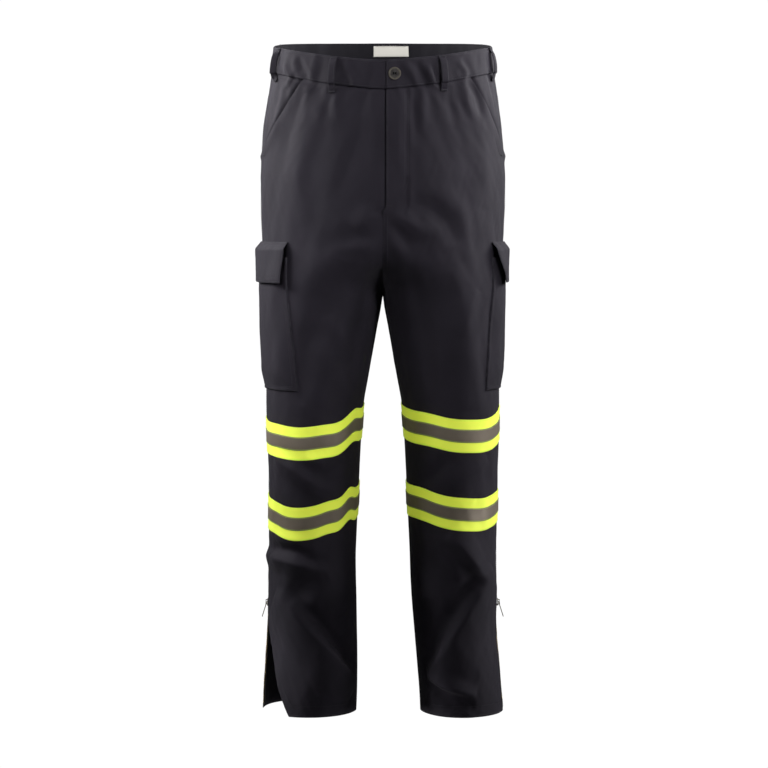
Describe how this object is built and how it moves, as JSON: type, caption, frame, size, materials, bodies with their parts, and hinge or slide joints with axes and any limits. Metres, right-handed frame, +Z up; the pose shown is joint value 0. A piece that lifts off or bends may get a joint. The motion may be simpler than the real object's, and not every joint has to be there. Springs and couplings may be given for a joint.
{
  "type": "bunker pants",
  "caption": "Twill over-trousers with bellows thigh pockets, reflective tape above and below each knee and a zip at each hem, held up by the waist.",
  "frame": {"origin": "centre of the waist opening, at the height of the waistband's top edge at the side seams", "axes": "+Z up out of the waist, -Y the front of the trousers, +X the wearer's left"},
  "size_m": [0.3992, 0.303, 1.0419],
  "materials": {
    "twill": "soft diagonal twill, dark navy charcoal",
    "lining": "plain weave, matt",
    "lime_tape": "fluorescent woven tape",
    "silver_strip": "retro-reflective glass-bead cloth",
    "hook_and_loop": "short pile",
    "zip_tape": "herringbone tape",
    "zip_metal": "antique brass",
    "button": "polished rim",
    "label": "woven satin"
  },
  "bodies": {
    "trousers": {"back_panel_left": "twill", "back_panel_right": "twill", "back_pocket_left": "twill", "back_pocket_right": "twill", "belt_loops_back": "twill", "belt_loops_front": "twill", "belt_loops_side": "twill", "cargo_flap_seam_left": "twill", "cargo_flap_seam_right": "twill", "cargo_loop_tape_left": "hook_and_loop", "cargo_loop_tape_right": "hook_and_loop", "cargo_pocket_left": "twill", "cargo_pocket_right": "twill", "fly_facing": "twill", "fly_shield": "twill", "fly_zip_tapes": "zip_tape", "fly_zip_teeth": "zip_metal", "front_panel_left": "twill", "front_panel_right": "twill", "knee_section_left": "twill", "knee_section_right": "twill", "pocket_bag_left": "lining", "pocket_bag_right": "lining", "pocket_facing_left": "twill", "pocket_facing_right": "twill", "upper_silver_left": "silver_strip", "upper_silver_right": "silver_strip", "upper_tape_left": "lime_tape", "upper_tape_right": "lime_tape", "waist_button": "button", "waist_label": "label", "waist_underlap": "twill", "waistband_facing": "lining", "waistband_left": "twill", "waistband_right": "twill"},
    "shin_left": {"shin_front_left": "twill", "shin_back_left": "twill", "lower_tape_left": "lime_tape", "lower_silver_left": "silver_strip", "leg_zip_tapes_left": "zip_tape", "leg_zip_teeth_left": "zip_metal"},
    "leg_slider_left": {"leg_zip_slider_left": "zip_metal"},
    "leg_pull_left": {"leg_zip_pull_left": "zip_metal"},
    "cargo_flap_left": {"cargo_flap_left": "twill", "cargo_hook_tape_left": "hook_and_loop"},
    "shin_right": {"shin_front_right": "twill", "shin_back_right": "twill", "lower_tape_right": "lime_tape", "lower_silver_right": "silver_strip", "leg_zip_tapes_right": "zip_tape", "leg_zip_teeth_right": "zip_metal"},
    "leg_slider_right": {"leg_zip_slider_right": "zip_metal"},
    "leg_pull_right": {"leg_zip_pull_right": "zip_metal"},
    "cargo_flap_right": {"cargo_flap_right": "twill", "cargo_hook_tape_right": "hook_and_loop"},
    "fly_slider": {"fly_zip_slider": "zip_metal"},
    "fly_pull": {"fly_zip_pull": "zip_metal"}
  },
  "joints": [
    {"name": "knee_left", "type": "hinge", "parent": "trousers", "child": "shin_left", "pos_m": [0.107, -0.02, -0.653], "axis": [1, 0, 0], "range_deg": [0, 60], "deforming": ["knee_section_left", "upper_tape_left", "upper_silver_left", "lower_tape_left", "lower_silver_left"]},
    {"name": "leg_slider_left", "type": "slide", "parent": "shin_left", "child": "leg_slider_left", "axis": [0.0614, 0.0306, -0.9976], "range_m": [0, 0.148]},
    {"name": "leg_pull_left", "type": "hinge", "parent": "leg_slider_left", "child": "leg_pull_left", "pos_m": [0.18118, 0.00485, -0.85477], "axis": [0, -0.9995, -0.0306], "range_deg": [0, 140]},
    {"name": "cargo_flap_left", "type": "hinge", "parent": "trousers", "child": "cargo_flap_left", "pos_m": [0.18804, 0.03867, -0.3035], "axis": [0.1989, -0.98, 0], "range_deg": [0, 120]},
    {"name": "knee_right", "type": "hinge", "parent": "trousers", "child": "shin_right", "pos_m": [-0.107, -0.02, -0.653], "axis": [1, 0, 0], "range_deg": [0, 60], "deforming": ["knee_section_right", "upper_tape_right", "upper_silver_right", "lower_tape_right", "lower_silver_right"]},
    {"name": "leg_slider_right", "type": "slide", "parent": "shin_right", "child": "leg_slider_right", "axis": [-0.0614, 0.0306, -0.9976], "range_m": [0, 0.148]},
    {"name": "leg_pull_right", "type": "hinge", "parent": "leg_slider_right", "child": "leg_pull_right", "pos_m": [-0.18118, 0.00485, -0.85477], "axis": [0, 0.9995, 0.0306], "range_deg": [0, 140]},
    {"name": "cargo_flap_right", "type": "hinge", "parent": "trousers", "child": "cargo_flap_right", "pos_m": [-0.19044, 0.00057, -0.3035], "axis": [-0.0742, 0.9972, 0], "range_deg": [0, 120]},
    {"name": "fly_slider", "type": "slide", "parent": "trousers", "child": "fly_slider", "axis": [0, -0.0446, -0.999], "range_m": [0, 0.135]},
    {"name": "fly_pull", "type": "hinge", "parent": "fly_slider", "child": "fly_pull", "pos_m": [0.019, -0.1254, -0.07983], "axis": [-1, 0, 0], "range_deg": [0, 8]}
  ]
}
